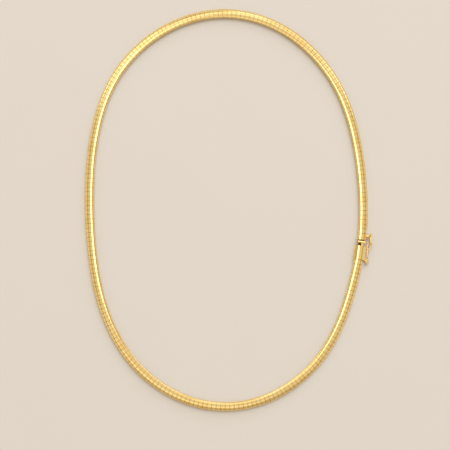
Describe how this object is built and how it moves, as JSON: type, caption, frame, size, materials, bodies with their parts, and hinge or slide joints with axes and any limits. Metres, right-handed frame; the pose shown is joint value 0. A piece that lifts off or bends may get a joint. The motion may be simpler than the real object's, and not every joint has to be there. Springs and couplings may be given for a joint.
{
  "type": "omega necklace",
  "caption": "Omega necklace of domed gold plates threaded side by side on a flat woven band, closed by a box clasp with a spring tongue and a wire safety.",
  "frame": {"origin": "middle of the necklace's outline, on the surface that it lies on", "axes": "+Z out of the domed faces, +Y from the front of the neck to its back, +X towards the clasp"},
  "size_m": [0.1208, 0.1688, 0.0021],
  "materials": {
    "plates": "polished 18 karat yellow gold sheet",
    "woven_band": "woven 18 karat yellow gold wire",
    "clasp": "polished 18 karat yellow gold",
    "safety_wire": "polished 18 karat yellow gold wire"
  },
  "bodies": {
    "necklace": {"upper_plates": "plates", "lower_plates": "plates", "core_band": "woven_band", "tongue_end": "clasp", "clasp_box": "clasp"},
    "latch": {"safety_latch": "safety_wire"}
  },
  "joints": [
    {"name": "latch_hinge", "type": "hinge", "parent": "necklace", "child": "latch", "pos_m": [0.05795, -0.02152, 0.00108], "axis": [0, 0, -1], "range_deg": [0, 110]}
  ]
}
